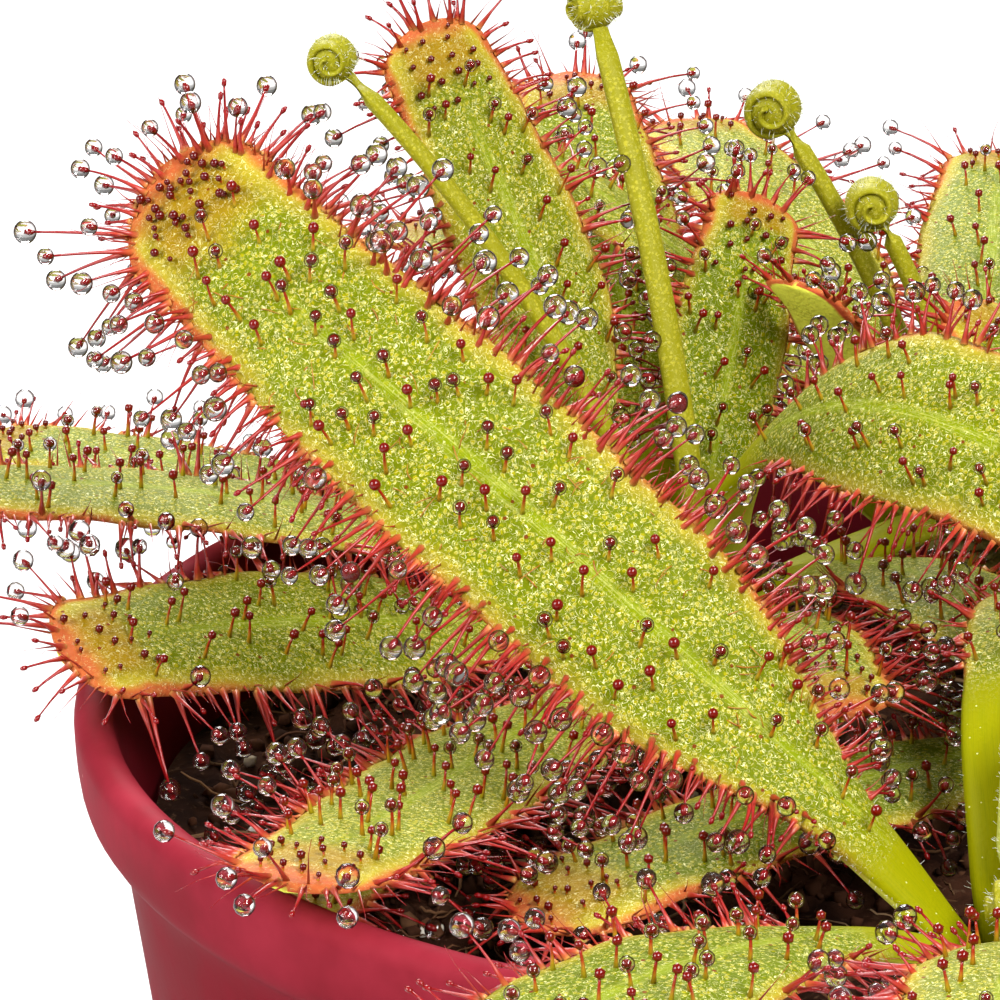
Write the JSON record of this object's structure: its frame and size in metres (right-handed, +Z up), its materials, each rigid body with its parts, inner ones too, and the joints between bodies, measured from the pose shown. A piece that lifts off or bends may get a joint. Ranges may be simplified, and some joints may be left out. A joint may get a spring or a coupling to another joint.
{
  "type": "potted sundew",
  "caption": "Carnivorous sundew in a small round plastic nursery pot: rosettes of strap leaves with sticky red tentacles.",
  "frame": {"origin": "centre of the pot's flat underside", "axes": "+Z up along the pot's axis; the longest leaf reaches towards -X, seen from -Y"},
  "size_m": [0.1013, 0.1147, 0.0881],
  "materials": {
    "pot_plastic": "satin",
    "peat_soil": "matte",
    "stem": "satin",
    "leaf": "satin",
    "young_leaf": "satin",
    "tentacle": "satin",
    "mucilage": "gloss",
    "white_hair": "satin"
  },
  "bodies": {
    "root": {"back_plant_curled_leaf_1": "young_leaf", "back_plant_curled_leaf_2": "young_leaf", "back_plant_leaf_1": "leaf", "back_plant_leaf_2": "leaf", "back_plant_leaf_3": "leaf", "back_plant_leaf_4": "leaf", "back_plant_leaf_5": "leaf", "back_plant_leaf_6": "leaf", "back_plant_leaf_7": "leaf", "back_plant_leaf_8": "leaf", "back_plant_leaf_9": "leaf", "back_plant_stem": "stem", "front_plant_curled_leaf_1": "young_leaf", "front_plant_leaf_1": "leaf", "front_plant_leaf_2": "leaf", "front_plant_leaf_3": "leaf", "front_plant_leaf_4": "leaf", "front_plant_leaf_5": "leaf", "front_plant_leaf_6": "leaf", "front_plant_leaf_7": "leaf", "front_plant_leaf_8": "leaf", "front_plant_leaf_9": "leaf", "front_plant_leaf_bud": "young_leaf", "front_plant_stem": "stem", "left_plant_curled_leaf_1": "young_leaf", "left_plant_curled_leaf_2": "young_leaf", "left_plant_leaf_1": "leaf", "left_plant_leaf_10": "leaf", "left_plant_leaf_11": "leaf", "left_plant_leaf_12": "leaf", "left_plant_leaf_13": "leaf", "left_plant_leaf_14": "leaf", "left_plant_leaf_2": "leaf", "left_plant_leaf_3": "leaf", "left_plant_leaf_4": "leaf", "left_plant_leaf_5": "leaf", "left_plant_leaf_6": "leaf", "left_plant_leaf_7": "leaf", "left_plant_leaf_8": "leaf", "left_plant_leaf_9": "leaf", "left_plant_stem": "stem", "pot": "pot_plastic", "right_plant_curled_leaf_1": "young_leaf", "right_plant_curled_leaf_2": "young_leaf", "right_plant_leaf_1": "leaf", "right_plant_leaf_10": "leaf", "right_plant_leaf_2": "leaf", "right_plant_leaf_3": "leaf", "right_plant_leaf_4": "leaf", "right_plant_leaf_5": "leaf", "right_plant_leaf_6": "leaf", "right_plant_leaf_7": "leaf", "right_plant_leaf_8": "leaf", "right_plant_leaf_9": "leaf", "right_plant_stem": "stem", "soil": "peat_soil"}
  },
  "joints": []
}
